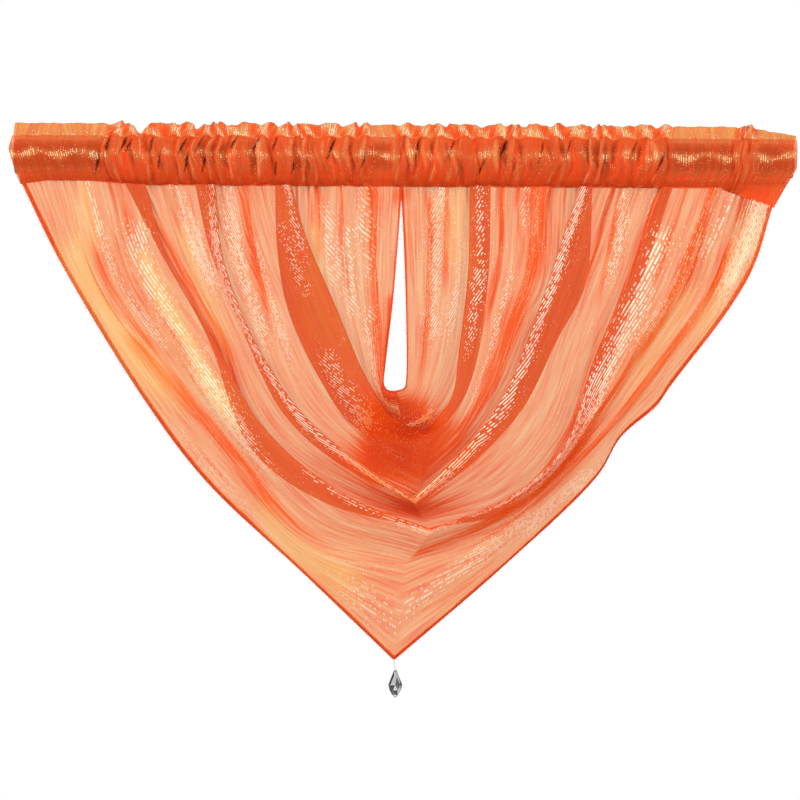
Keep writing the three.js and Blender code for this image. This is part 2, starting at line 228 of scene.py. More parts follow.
# Bands that run down the arms. A place across an arm is counted in panels: 2.4 is four tenths of
# the way across panel 2. The columns are: side, place at the band's top, place at its end, from
# and to (shares of the way down the arm), half width in millimetres, and strength.
# In the deep bands a narrow fold lies over and the cloth is doubled.
DEEP_BANDS = [
    (-1, 0.00, 0.12, 0.50, 1.00, 4.0, 0.9),
    (-1, 0.24, 0.20, 0.00, 1.00, 3.0, 1.0),
    (-1, 0.50, 0.45, 0.00, 0.50, 1.6, 0.7),
    (-1, 0.68, 0.68, 0.00, 0.30, 3.0, 0.8),
    (-1, 0.97, 0.92, 0.15, 0.95, 4.0, 0.8),
    (-1, 1.50, 1.72, 0.00, 0.42, 2.5, 0.9),
    (-1, 2.93, 2.86, 0.00, 0.80, 5.0, 0.8),
    (-1, 3.33, 3.31, 0.00, 0.14, 1.6, 0.6),
    (-1, 3.62, 3.42, 0.12, 0.45, 5.5, 0.35),
    (-1, 3.86, 3.80, 0.12, 0.75, 2.0, 0.6),
    (-1, 4.00, 3.90, 0.32, 0.88, 4.0, 0.8),
    (1, 0.07, 0.06, 0.10, 0.50, 4.0, 0.4),
    (1, 0.33, 0.30, 0.05, 0.95, 2.0, 0.9),
    (1, 0.54, 0.50, 0.00, 0.50, 1.7, 0.7),
    (1, 0.97, 0.94, 0.00, 0.80, 2.5, 0.8),
    (1, 1.26, 1.25, 0.00, 0.55, 1.7, 0.9),
    (1, 1.40, 1.42, 0.00, 0.20, 1.2, 0.6),
    (1, 1.58, 1.53, 0.00, 0.95, 6.0, 0.9),
    (1, 1.92, 1.92, 0.10, 0.90, 5.5, 0.9),
    (1, 2.35, 2.43, 0.00, 0.30, 1.3, 0.8),
    (1, 2.45, 2.66, 0.00, 0.32, 1.3, 0.9),
    (1, 2.92, 2.90, 0.00, 0.85, 3.5, 0.9),
    (1, 3.25, 3.30, 0.00, 0.25, 2.7, 0.5),
    (1, 3.62, 3.58, 0.00, 0.90, 4.0, 0.9),
    (1, 4.00, 4.00, 0.10, 0.95, 2.6, 0.9),
    (1, 3.40, 3.80, 0.78, 1.00, 5.0, 0.6),
]

# In the glint bands the cloth turns a little, and its metallic threads get painted highlights where they
# catch the light.
GLINT_BANDS = [
    (-1, 0.30, 0.21, 0.00, 0.50, 4.0, 0.9),
    (-1, 0.26, 0.33, 0.50, 1.00, 4.0, 0.9),
    (-1, 0.45, 0.45, 0.15, 0.60, 5.0, 0.8),
    (-1, 0.62, 0.56, 0.05, 0.45, 5.0, 0.9),
    (-1, 0.35, 0.42, 0.86, 1.00, 2.0, 0.9),
    (-1, 1.03, 1.08, 0.00, 0.30, 3.0, 0.8),
    (-1, 1.21, 1.20, 0.12, 0.42, 3.5, 0.6),
    (-1, 1.29, 1.32, 0.55, 0.88, 8.0, 0.7),
    (-1, 1.53, 1.72, 0.15, 0.62, 3.0, 0.8),
    (-1, 1.68, 1.90, 0.00, 0.52, 5.0, 1.0),
    (-1, 2.02, 2.03, 0.00, 1.00, 3.0, 1.0),
    (-1, 2.43, 2.35, 0.00, 0.32, 5.0, 1.0),
    (-1, 3.26, 3.55, 0.08, 0.75, 7.0, 1.0),
    (-1, 3.00, 3.03, 0.70, 1.00, 2.2, 0.7),
    (-1, 3.73, 3.63, 0.00, 0.44, 2.4, 0.9),
    (-1, 4.68, 4.66, 0.48, 0.72, 5.0, 0.5),
    (-1, 4.55, 4.60, 0.88, 1.00, 10.0, 0.6),
    (1, 0.44, 0.31, 0.00, 0.78, 5.5, 1.0),
    (1, 0.79, 0.54, 0.20, 0.68, 5.0, 0.7),
    (1, 0.80, 0.74, 0.85, 1.00, 2.2, 0.9),
    (1, 1.07, 1.10, 0.00, 0.72, 4.0, 0.8),
    (1, 1.37, 1.40, 0.28, 0.86, 2.0, 0.8),
    (1, 1.48, 1.45, 0.00, 0.18, 3.0, 0.7),
    (1, 1.59, 1.50, 0.02, 0.38, 2.7, 0.5),
    (1, 2.03, 2.05, 0.00, 1.00, 3.5, 1.0),
    (1, 2.52, 2.72, 0.00, 0.28, 4.5, 0.8),
    (1, 2.86, 2.85, 0.00, 0.10, 1.6, 0.8),
    (1, 3.17, 3.26, 0.10, 0.88, 7.5, 1.0),
    (1, 3.00, 3.02, 0.72, 1.00, 2.2, 0.7),
    (1, 3.65, 3.53, 0.00, 0.44, 4.0, 0.8),
    (1, 3.87, 3.73, 0.00, 0.16, 2.2, 0.7),
    (1, 4.60, 4.40, 0.00, 0.24, 7.0, 1.0),
    (1, 4.86, 4.70, 0.48, 0.64, 4.0, 0.6),
    (1, 4.50, 4.55, 0.58, 0.76, 6.5, 0.9),
    (1, 4.15, 4.50, 0.72, 1.00, 8.0, 0.8),
]

# In the gold bands the threads turn the cloth yellow: a painted golden sheen of the metallic threads.
GOLD_SHEEN_BANDS = [
    (-1, 0.71, 0.70, 0.14, 0.38, 3.5, 0.8),
    (-1, 2.50, 2.82, 0.10, 0.45, 4.0, 0.6),
    (-1, 3.24, 3.42, 0.15, 0.62, 4.5, 0.9),
    (-1, 3.80, 3.90, 0.00, 0.16, 5.0, 0.5),
    (-1, 4.28, 4.00, 0.12, 0.52, 9.0, 0.8),
    (-1, 4.40, 4.40, 0.70, 0.95, 11.0, 0.6),
    (1, 0.63, 0.62, 0.00, 0.36, 8.0, 0.4),
    (1, 3.72, 3.80, 0.20, 0.50, 6.0, 0.4),
    (1, 4.45, 4.40, 0.02, 0.30, 6.0, 0.5),
]

# Panels between which no fold lies are one stretch of cloth, so their bands run on into each other.
PANEL_STRETCH = [0, 1, 2, 3, 3]

# Fold of a band: how far it stands out for its half width with BAND_ADDED on top, in the deep and the
# glint bands, and how far a deep one lies over for that
BAND_ADDED = 2.5
BAND_PUSH = 0.36
GLINT_PUSH = 0.12
BAND_LEAN = 0.9

# Share of a panel's width over which its bands and pleats fade out towards a fold
FOLD_FADE = 0.10

# Widths of the panels at the heading, on each side and from the neck out to the hem
PANEL_WIDTHS = {-1: [91, 69, 65, 57, 31], 1: [64, 88, 67, 60, 19]}
FINE_PLEAT_SPACING = 9

# Places where the cloth lies in many layers: (x, z, half width, half height, amount)
DEEP_PLACES = [
    (-2, -176, 22, 10, 1.1),
    (8, -190, 26, 10, 1.2),
    (0, -214, 30, 24, 1.4),
    (-22, -196, 8, 30, 0.6),
    (36, -206, 26, 14, 0.45),
    (-40, -220, 26, 16, 0.35),
    (10, -248, 34, 9, 0.7),
    (5, -290, 110, 45, 0.16),
    (-2, -27, 6, 8, 0.9),
    (-42, -85, 34, 50, -0.30),
    (32, -85, 28, 50, -0.20),
]

# Places that lie in shade: (x, z, half width, half height, amount)
SHADE_PLACES = [
    (-2, -178, 16, 9, 0.25),
    (8, -192, 15, 6, 0.25),
    (0, -213, 24, 20, 0.16),
    (8, -247, 24, 5, 0.12),
]

# Grid of the drape: steps across each panel, around each turn and between two turns, and down
PANEL_STEPS = [92, 86, 66, 58, 34]
TURN_STEPS = 6
LINK_STEPS = 6
STEPS_DOWN_ARM = 104


def mix(a, b, share):
    return a + (b - a) * share


def smooth(share):
    share = np.clip(share, 0, 1)
    return share * share * (3 - 2 * share)


def bell(distance, width):
    return np.exp(-((distance / width) ** 2))


def read_table(table, key):
    keys, values = zip(*table)
    return np.interp(key, keys, values)


def unit(vectors):
    return vectors / np.maximum(np.linalg.norm(vectors, axis=-1, keepdims=True), 1e-9)


def gather_phase(x):
    """How many gathers lie to the left of x in its stretch, their size, and where there are any."""
    x = np.asarray(x, float)
    phase = np.zeros_like(x)
    size = np.zeros_like(x)
    for start, end, count in STRETCHES:
        along = np.clip((x - start) / (end - start), 0, 1)
        uneven = 0.3 * np.sin(along * 17) + 0.2 * np.sin(along * 41 + 1)
        inside = (x > start) & (x <= end) & (count > 0)
        counted = along * count + uneven * np.sin(along * PI)
        phase = np.where(inside, counted, phase)
        size = np.where(inside, 0.75 + 0.25 * np.sin(counted * 2.1 + 0.6), size)
    return phase, size, size > 0


def gather_at(x):
    """The gathers at x: crest is 0 in a valley and 1 on a ridge, sway leans the cloth to and fro."""
    phase, size, gathered = gather_phase(x)
    crest = np.where(gathered, size * (0.5 - 0.5 * np.cos(2 * PI * phase)) ** 0.8, 0.15)
    return crest, size * np.sin(2 * PI * phase)


def upper_phase(phase):
    """The count of the folds that run down from the stitches: a little wider and set off sideways."""
    return phase * 0.93 + 0.42


def soft_gathered(x, blur=5.0):
    """1 where the heading is gathered and 0 where it is flat, with a soft change between."""
    total = np.zeros_like(x)
    for start, end, count in STRETCHES:
        if count:
            total += smooth((x - start) / (2 * blur) + 0.5) * smooth((end - x) / (2 * blur) + 0.5)
    return np.minimum(total, 1)


def slanted_x(x, z):
    """The true x at height z of the station x: the two ends of the heading are slanted."""
    first, last = STRETCHES[0][0], STRETCHES[-1][1]
    return mix(read_table(LEFT_END, z), read_table(RIGHT_END, z), (x - first) / (last - first))


def lower_edge_on(x):
    """Height of the lower edge at station x, in small steps because the station's true x changes too."""
    lower = read_table(LOWER_EDGE, x)
    for _ in range(12):
        lower = mix(lower, read_table(LOWER_EDGE, slanted_x(x, lower)), 0.6)
    return lower


def smooth_path(corners, steps=60):
    """Points on a centripetal curve through the corners."""
    corners = np.asarray(corners, float)
    ends = 2 * corners[0] - corners[1], 2 * corners[-1] - corners[-2]
    padded = np.vstack([ends[0], corners, ends[1]])
    share = np.linspace(0, 1, steps, endpoint=False)[:, None]
    path = []
    for p0, p1, p2, p3 in zip(padded, padded[1:], padded[2:], padded[3:]):
        d0, d1, d2 = (np.linalg.norm(b - a) ** 0.5 for a, b in ((p0, p1), (p1, p2), (p2, p3)))
        leave = ((p1 - p0) / d0 - (p2 - p0) / (d0 + d1) + (p2 - p1) / d1) * d1
        reach = ((p2 - p1) / d1 - (p3 - p1) / (d1 + d2) + (p3 - p2) / d2) * d1
        square = -3 * p1 + 3 * p2 - 2 * leave - reach
        cube = 2 * p1 - 2 * p2 + leave + reach
        path.append(p1 + leave * share + square * share**2 + cube * share**3)
    return np.vstack(path + [corners[-1:]])


def along_path(path, shares):
    """Points at equal shares of a path's length."""
    steps = np.linalg.norm(np.diff(path, axis=0), axis=1)
    run = np.concatenate([[0], np.cumsum(steps)])
    return np.stack([np.interp(shares * run[-1], run, path[:, k]) for k in range(path.shape[1])], axis=-1)


def arm_path(line, side):
    arm = line["left"] if side < 0 else line["right"]
    head_x = arm[0][0]
    head = (head_x, read_table(LOWER_EDGE, head_x) + SEAM_LAP)
    return smooth_path([head, *arm[1:], line["lowest"]])


def section_stops(side, down):
    """The fold lines' places at each share of the way down, and the turns' offsets beside them."""
    spots = []
    for line in FOLD_LINES:
        place = along_path(arm_path(line, side), down)
        depth = mix(line["head"], line["low"], smooth(down))
        spots.append(np.stack([place[:, 0], depth, place[:, 1]], axis=-1))
    radius = mix(TURN_AT_SEAM, TURN_AT_BEAK, down)[:, None]
    level = np.array([1, 0, 1])
    turns = {}
    for i, line in enumerate(FOLD_LINES):
        if not line["turn"]:
            continue
        offsets = []
        for other in (spots[i - 1], spots[i + 1]):
            way = (other - spots[i]) * level
            length = np.linalg.norm(way, axis=1, keepdims=True)
            offsets.append(way / length * np.minimum(radius, 0.4 * length))
        turns[i] = offsets
    return spots, turns, radius


def turn_point(spots, turns, radius, line, share):
    """A point of the round turn at a fold line: share 0 where the cloth arrives, 1 where it leaves."""
    before, after = turns[line]
    offset = before if share < 0.5 else after
    rise = np.cos(PI * share) * radius * np.array([0, 1, 0])
    return spots[line] + offset * (1 - np.sin(PI * share)) + rise


def drape_rows():
    """Rows of the drape from the neck edge to the hem: (kind, number, share of the way on)."""
    rows = []
    panel = 0
    for line in range(len(FOLD_LINES) - 1):
        if FOLD_LINES[line]["turn"]:
            rows += [("turn", line, share) for share in np.linspace(0, 1, TURN_STEPS + 1)[:-1]]
        between_turns = FOLD_LINES[line]["turn"] and FOLD_LINES[line]["head"] > 0
        if between_turns:
            rows += [("link", line, share) for share in np.linspace(0, 1, LINK_STEPS + 1)[:-1]]
        else:
            shares = np.linspace(0, 1, PANEL_STEPS[panel] + 1)[:-1]
            rows += [("panel", (line, panel), share) for share in shares]
            panel += 1
    rows.append(("panel", (len(FOLD_LINES) - 2, panel - 1), 1.0))
    return rows


def row_place(row):
    """The panel that a row belongs to and its share of the way across it, or None behind a fold."""
    kind, number, share = row
    if kind == "panel":
        return number[1], share
    if kind == "turn" and FOLD_LINES[number]["head"] < 0:
        return number // 2, 0.0
    if kind == "turn":
        return (number - 1) // 2, 1.0
    return None


def stop_at(parts, line, share):
    """Where the cloth reaches a fold line, for share 0, or leaves it, for share 1."""
    return turn_point(*parts, line, share) if FOLD_LINES[line]["turn"] else parts[0][line]


def base_row(parts, row):
    """One row of the drape from the heading down, before its pleats and bands."""
    kind, number, share = row
    if kind == "turn":
        return turn_point(*parts, number, share)
    line = number if kind == "link" else number[0]
    start, end = stop_at(parts, line, 1.0), stop_at(parts, line + 1, 0.0)
    point = mix(start, end, share)
    if kind == "panel":
        point[:, 1] = mix(start[:, 1], end[:, 1], smooth(share))
    return point


def panel_widths(parts, rows):
    """Width of each panel at each share of the way down."""
    widths = {}
    for kind, number, _ in rows:
        if kind == "panel" and number[1] not in widths:
            line, panel = number
            way = stop_at(parts, line + 1, 0.0) - stop_at(parts, line, 1.0)
            widths[panel] = np.linalg.norm(way, axis=1)
    return widths


def band_profile(distance, half):
    """Strength across a band: a soft-edged middle with a faint skirt beyond it."""
    return 0.72 * np.minimum(1.4 * bell(distance, half), 1) + 0.28 * bell(distance, 2.3 * half)


def band_field(table, side, rows, widths, down, push=0.0):
    """Strength of a table's bands at each row and share down, and their depth for that push."""
    field = np.zeros((len(rows), len(down)))
    depth = np.zeros_like(field)
    for i, row in enumerate(rows):
        place = row_place(row)
        if place is None:
            continue
        panel, share = place
        for on_side, top, end, start, stop, half, amount in table:
            if on_side != side or PANEL_STRETCH[int(top)] != PANEL_STRETCH[panel]:
                continue
            centre = mix(top, end, np.clip((down - start) / (stop - start), 0, 1))
            wobble = 1 + 0.3 * np.sin(9 * down + 7 * top) * np.sin(21 * down + 3 * top)
            strength = amount * band_profile((panel + share - centre) * widths[panel], half * wobble)
            if start > 0:
                strength = strength * smooth((down - start) / 0.06 + 0.5)
            if stop < 1:
                strength = strength * smooth((stop - down) / (0.3 * (stop - start)))
            field[i] += strength
            depth[i] -= push * (half + BAND_ADDED) * strength
    return np.minimum(field, 1), depth


def fine_pleats():
    """Small seeded pleats near the heading, a few in every panel."""
    pleats = []
    for side, widths in PANEL_WIDTHS.items():
        for panel, width in enumerate(widths):
            count = round(width / FINE_PLEAT_SPACING)
            for k in range(count):
                at = (k + 0.5 + rng.uniform(-0.3, 0.3)) / count
                half = rng.uniform(2.0, 3.6) / width
                pleats.append((side, panel, at, -rng.uniform(0.5, 1.4), half, rng.uniform(0.10, 0.50)))
    return pleats


def pleat_depth(side, panel, share, down, pleats):
    """Depth of the pleats at one share of the way across a panel."""
    depth = np.zeros_like(down)
    for on_side, on_panel, at, push, width, reach in pleats:
        if on_side == side and on_panel == panel:
            fade = np.clip(1 - down / reach, 0, 1)
            depth += push * bell(share - at, width) * smooth(fade * 2)
    return depth


def fold_window(panel, share):
    """Fades to 0 where a panel meets a fold, and stays 1 where it runs on into the next panel."""
    stretch = PANEL_STRETCH[panel]
    start = 1.0 if stretch in PANEL_STRETCH[:panel] else smooth(share / FOLD_FADE)
    end = 1.0 if stretch in PANEL_STRETCH[panel + 1:] else smooth((1 - share) / FOLD_FADE)
    return start * end


def drape_half(side, rows, down, pleats):
    """One side of the drape from the heading down, and its deep, glint and gold bands."""
    parts = section_stops(side, down)
    widths = panel_widths(parts, rows)
    base = np.stack([base_row(parts, row) for row in rows])
    heads = base[:, 0, :].copy()
    seam = read_table(LOWER_EDGE, heads[:, 0]) + SEAM_LAP - heads[:, 2]
    base[:, :, 2] += seam[:, None] * np.clip(1 - down / 0.15, 0, 1)
    outward = np.gradient(base, axis=0)
    outward[:, :, 1] = 0
    outward = unit(outward)
    _, sway = gather_at(heads[:, 0])
    base[:, :, 1] += RIBBON_WAVE * sway[:, None] * smooth(1 - down / 0.16)
    deep, deep_depth = band_field(DEEP_BANDS, side, rows, widths, down, BAND_PUSH)
    glint, glint_depth = band_field(GLINT_BANDS, side, rows, widths, down, GLINT_PUSH)
    gold, _ = band_field(GOLD_SHEEN_BANDS, side, rows, widths, down)
    for i, (kind, number, share) in enumerate(rows):
        if kind != "panel":
            continue
        panel = number[1]
        window = fold_window(panel, share)
        depth = pleat_depth(side, panel, share, down, pleats) + deep_depth[i] + glint_depth[i]
        lean = BAND_LEAN * deep_depth[i] * smooth(down / 0.05)
        base[i, :, 1] += window * depth
        base[i] += outward[i] * (window * lean)[:, None]
        if panel == 0:
            base[i, :, 1] += side * NECK_LAP * (1 - share) * np.clip(1 - down / 0.14, 0, 1)
    return base, deep, glint, gold


def drape_grid():
    """The draped cloth as grid[row, column]: x, y, z, its bands, and how many panels across each row is.

    The columns run from the left side of the heading down to the lowest point and up to the right.
    """
    rows = drape_rows()
    down = np.linspace(0, 1, STEPS_DOWN_ARM + 1)
    pleats = PLEATS + fine_pleats()
    left = drape_half(-1, rows, down, pleats)
    right = drape_half(1, rows, down, pleats)
    joined = [np.concatenate([a, b[:, ::-1][:, 1:]], axis=1) for a, b in zip(left, right)]
    # Rows behind a fold have no place of their own and take theirs from the rows beside them
    row_places = [row_place(row) for row in rows]
    across = np.array([np.nan if place is None else sum(place) for place in row_places])
    known = ~np.isnan(across)
    across = np.interp(np.arange(len(rows)), np.arange(len(rows))[known], across[known])
    return *joined, across


def cloth_coordinates(grid):
    """Millimetres across and along the cloth at each grid point, from its own rows and columns."""
    middle = grid.shape[1] // 2
    across_steps = np.linalg.norm(np.diff(grid, axis=0), axis=2)
    across_run = np.vstack([np.zeros(grid.shape[1]), np.cumsum(across_steps, axis=0)])
    sample = np.r_[middle - 70:middle - 30, middle + 30:middle + 70]
    across = np.repeat(across_run[:, sample].mean(axis=1)[:, None], grid.shape[1], axis=1)
    along_steps = np.linalg.norm(np.diff(grid, axis=1), axis=2)
    run = np.hstack([np.zeros((grid.shape[0], 1)), np.cumsum(along_steps, axis=1)])
    return across, run - run[:, middle:middle + 1]


def grid_normals(grid):
    down_rows = np.gradient(grid, axis=0)
    along_columns = np.gradient(grid, axis=1)
    return unit(np.cross(down_rows, along_columns))


def grid_faces(rows, columns, closed=False):
    faces = []
    for i in range(rows - 1):
        for j in range(columns if closed else columns - 1):
            k = (j + 1) % columns
            faces.append((i * columns + j, (i + 1) * columns + j, (i + 1) * columns + k, i * columns + k))
    return faces


def add_object(name, data):
    thing = bpy.data.objects.new(name, data)
    bpy.context.scene.collection.objects.link(thing)
    return thing


def make_piece(name, points, faces, material, attributes=None):
    """A mesh object in metres from points in millimetres, with its material and attributes."""
    mesh = bpy.data.meshes.new(name)
    mesh.from_pydata((np.asarray(points, float).reshape(-1, 3) * MM).tolist(), [], faces)
    mesh.validate()
    mesh.update()
    mesh.polygons.foreach_set("use_smooth", [True] * len(mesh.polygons))
    for key, values in (attributes or {}).items():
        values = np.asarray(values, np.float32)
        mesh.attributes.new(key, "FLOAT_VECTOR", "POINT").data.foreach_set("vector", values.ravel())
    piece = add_object(name, mesh)
    mesh.materials.append(material)
    return piece


def cloth_attributes(cloth, state, yarn):
    """What the voile reads at each point: thread, along and painted glint; dense, gold and painted shade; and
    across, along and painted light."""
    values = {"cloth": cloth, "state": state, "yarn": yarn}
    return {key: np.stack(parts, axis=-1).reshape(-1, 3) for key, parts in values.items()}


class Nodes:
    """A material's node tree, with short calls that add a node and join it up."""

    def __init__(self, name):
        self.material = bpy.data.materials.new(name)
        self.material.use_nodes = True
        self.tree = self.material.node_tree
        self.tree.nodes.clear()

    def put(self, socket, value):
        if isinstance(value, bpy.types.NodeSocket):
            self.tree.links.new(value, socket)
        elif isinstance(value, (tuple, list)) and len(value) == 3 and len(socket.default_value) == 4:
            socket.default_value = (*value, 1)
        else:
            socket.default_value = value

    def add(self, kind, inputs=None, output=0, **settings):
        node = self.tree.nodes.new(kind)
        for key, value in settings.items():
            setattr(node, key, value)
        for key, value in (inputs or {}).items():
            self.put(node.inputs[key], value)
        return node.outputs[output]

    def math(self, operation, *values):
        return self.add("ShaderNodeMath", dict(enumerate(values)), operation=operation)

    def noise(self, vector, scale, detail=2.0):
        inputs = {"Vector": vector, "Scale": scale, "Detail": detail, "Roughness": 0.5}
        return self.add("ShaderNodeTexNoise", inputs)

    def chance(self, x, y=0.0):
        """A random number from 0 to 1 for each pair of whole numbers."""
        return self.add("ShaderNodeTexWhiteNoise", {"Vector": self.vector(x, y)}, noise_dimensions="2D")

    def remap(self, value, low, high, to_low=0.0, to_high=1.0):
        return self.add("ShaderNodeMapRange", {0: value, 1: low, 2: high, 3: to_low, 4: to_high})

    def vector(self, x, y, z=0.0):
        return self.add("ShaderNodeCombineXYZ", {0: x, 1: y, 2: z})

    def split(self, vector):
        return self.add("ShaderNodeSeparateXYZ", {0: vector}).node.outputs

    def cells(self, value):
        """The whole part of a value, and its distance from the middle between two whole numbers."""
        number = self.math("FLOOR", value)
        return number, self.math("ABSOLUTE", self.math("SUBTRACT", self.math("SUBTRACT", value, number), 0.5))

    def blend_colour(self, share, first, second):
        node = self.tree.nodes.new("ShaderNodeMix")
        node.data_type = "RGBA"
        for key, value in ((0, share), (6, first), (7, second)):
            self.put(node.inputs[key], value)
        return node.outputs[2]

    def blend_shader(self, share, first, second):
        return self.add("ShaderNodeMixShader", {0: share, 1: first, 2: second})

    def finish(self, shader):
        out = self.tree.nodes.new("ShaderNodeOutputMaterial")
        self.tree.links.new(shader, out.inputs["Surface"])
        return self.material


def painted_glint_mask(n, thread, along, glint, dense):
    """Painted highlights where the metallic threads catch the light: lines broken into dashes, and dots
    elsewhere.
    """
    wander = n.noise(n.vector(n.math("MULTIPLY", thread, 0.1), n.math("MULTIPLY", along, 0.012)), 1.0, 1.0)
    spaced = n.math("ADD", n.math("DIVIDE", thread, GLINT_SPACING), n.math("MULTIPLY", wander, 1.2))
    number, from_line = n.cells(spaced)
    half = n.remap(glint, 0.15, 0.9, 0.12, 0.18)
    line = n.remap(n.math("SUBTRACT", from_line, half), -0.06, 0.10, 1.0, 0.0)
    run = n.math("ADD", n.math("DIVIDE", along, DASH_PITCH), n.math("MULTIPLY", n.chance(number), 37.0))
    cell, from_middle = n.cells(run)
    length = n.remap(glint, 0.15, 0.8, 0.16, 0.49)
    dash = n.remap(n.math("SUBTRACT", from_middle, length), -0.08, 0.05, 1.0, 0.0)
    patches = n.noise(n.vector(n.math("MULTIPLY", thread, 0.14), n.math("MULTIPLY", along, 0.03)), 1.0, 2.0)
    wanted = n.math("ADD", n.math("MULTIPLY", glint, 0.85), n.math("MULTIPLY", dense, 0.14))
    wanted = n.math("ADD", wanted, n.remap(patches, 0.42, 0.7, -0.03, 0.22))
    lit = n.remap(n.math("SUBTRACT", wanted, n.chance(number, cell)), -0.04, 0.22)
    beads = n.remap(n.math("SINE", n.math("MULTIPLY", run, 2 * PI * 2.4)), -1.0, 1.0, 0.5, 0.95)
    return n.math("MULTIPLY", n.math("MULTIPLY", line, dash), n.math("MULTIPLY", lit, beads))


def voile_material(name, cover, pale, deep):
    """Sheer voile: orange fibres that let light through, with painted glints in dashes on the metallic
    threads, and painted light and painted shade.
    """
    n = Nodes(name)
    thread, along, glint = n.split(n.add("ShaderNodeAttribute", attribute_name="cloth", output="Vector"))
    dense, gold, shade = n.split(n.add("ShaderNodeAttribute", attribute_name="state", output="Vector"))

    # Streaks of thicker and thinner yarn down the folds, and the open weave itself
    across, _, light = n.split(n.add("ShaderNodeAttribute", attribute_name="yarn", output="Vector"))
    # The third attribute also carries painted light, where the cloth is painted lighter as if lit
    broad = n.noise(n.vector(n.math("MULTIPLY", across, 0.35), n.math("MULTIPLY", along, 0.012)), 1.0, 2.0)
    streaks = n.noise(n.vector(across, n.math("MULTIPLY", along, 0.03)), 0.9, 3.0)
    dense = n.math("MULTIPLY", dense, n.remap(streaks, 0.3, 0.7, 0.70, 1.15))
    warp = n.math("SINE", n.math("MULTIPLY", thread, 2 * PI / WARP_PITCH))
    weft = n.math("SINE", n.math("MULTIPLY", along, 2 * PI / WEFT_PITCH))
    weave = n.math("MULTIPLY", warp, weft)
    fill = n.math("ADD", n.remap(streaks, 0.3, 0.7, -0.13, 0.13), n.remap(broad, 0.3, 0.7, -0.10, 0.10))
    fill = n.math("ADD", n.math("ADD", fill, n.math("MULTIPLY", weave, 0.05)), cover)
    fill = n.math("ADD", fill, n.math("MULTIPLY", dense, 0.38))
    fill = n.math("MINIMUM", n.math("MAXIMUM", fill, 0.2), 0.985)

    # Fibres: pale and pink where the cloth is single, deep orange where it is bunched
    rosy = n.remap(streaks, 0.42, 0.66)
    tone = n.blend_colour(rosy, pale, (0.87, 0.12, 0.065))
    tone = n.blend_colour(n.math("MINIMUM", dense, 1.0), tone, deep)
    tone = n.blend_colour(n.remap(dense, 0.95, 1.6), tone, (0.82, 0.048, 0.008))
    # Painted golden sheen: yellow where the gold attribute is set, also along the heading's painted highlight
    # line
    tone = n.blend_colour(n.math("MINIMUM", gold, 1.0), tone, (0.93, 0.46, 0.10))
    # Painted light: lighter orange on the painted lit edges and the painted highlight line
    tone = n.blend_colour(light, tone, (1.0, 0.38, 0.13))
    # Painted shade: the shade attribute darkens the fibres toward dark red-brown
    tone = n.blend_colour(n.math("MINIMUM", shade, 1.0), tone, (0.15, 0.014, 0.004))
    height = n.math("ADD", weave, streaks)
    bump = n.add("ShaderNodeBump", {"Strength": 0.15, "Distance": 0.0002, "Height": height})
    front = n.add("ShaderNodeBsdfDiffuse", {"Color": tone, "Roughness": 0.5, "Normal": bump})
    through = n.add("ShaderNodeBsdfTranslucent", {"Color": tone, "Normal": bump})
    fibres = n.blend_shader(0.22, front, through)
    clear = n.add("ShaderNodeBsdfTransparent", {"Color": (0.93, 0.85, 0.51)})
    voile = n.blend_shader(fill, clear, fibres)

    # Metallic threads: painted highlights, white on single cloth and golden on bunched cloth, mostly a
    # painted diffuse colour with a little real anisotropic gloss
    mask = painted_glint_mask(n, thread, along, glint, dense)
    foil_colour = n.blend_colour(n.math("MINIMUM", dense, 1.0), (1.0, 0.88, 0.70), (1.0, 0.60, 0.24))
    foil = n.add("ShaderNodeBsdfAnisotropic", {"Color": foil_colour, "Roughness": 0.35})
    painted_glint = n.add("ShaderNodeBsdfDiffuse", {"Color": foil_colour})
    lurex = n.blend_shader(0.3, painted_glint, foil)
    return n.finish(n.blend_shader(mask, voile, lurex))


def thread_material(name, colour, dark):
    """Sewing thread: twisted strands, lighter on the strands and darker between them."""
    n = Nodes(name)
    place = n.add("ShaderNodeTexCoord", output="Object")
    grain = n.noise(place, 900.0, 3.0)
    tone = n.blend_colour(n.remap(grain, 0.3, 0.7), dark, colour)
    bump = n.add("ShaderNodeBump", {"Strength": 0.3, "Distance": 0.0001, "Height": grain})
    return n.finish(n.add("ShaderNodeBsdfDiffuse", {"Color": tone, "Roughness": 0.3, "Normal": bump}))


def rod_material():
    """Dark brushed metal with fine marks around the bar and a few worn, brighter places."""
    n = Nodes("rod_metal")
    place = n.add("ShaderNodeTexCoord", output="Object")
    x, y, z = n.split(place)
    marks = n.noise(n.vector(n.math("MULTIPLY", x, 1600.0), n.math("MULTIPLY", y, 60.0), z), 1.0, 3.0)
    wear = n.noise(place, 24.0, 3.0)
    tone = n.blend_colour(n.remap(wear, 0.35, 0.7), (0.075, 0.06, 0.05), (0.15, 0.125, 0.105))
    rough = n.remap(marks, 0.3, 0.7, 0.16, 0.3)
    bump = n.add("ShaderNodeBump", {"Strength": 0.06, "Distance": 0.0001, "Height": marks})
    inputs = {"Base Color": tone, "Metallic": 1.0, "Roughness": rough, "Normal": bump}
    return n.finish(n.add("ShaderNodeBsdfPrincipled", inputs))


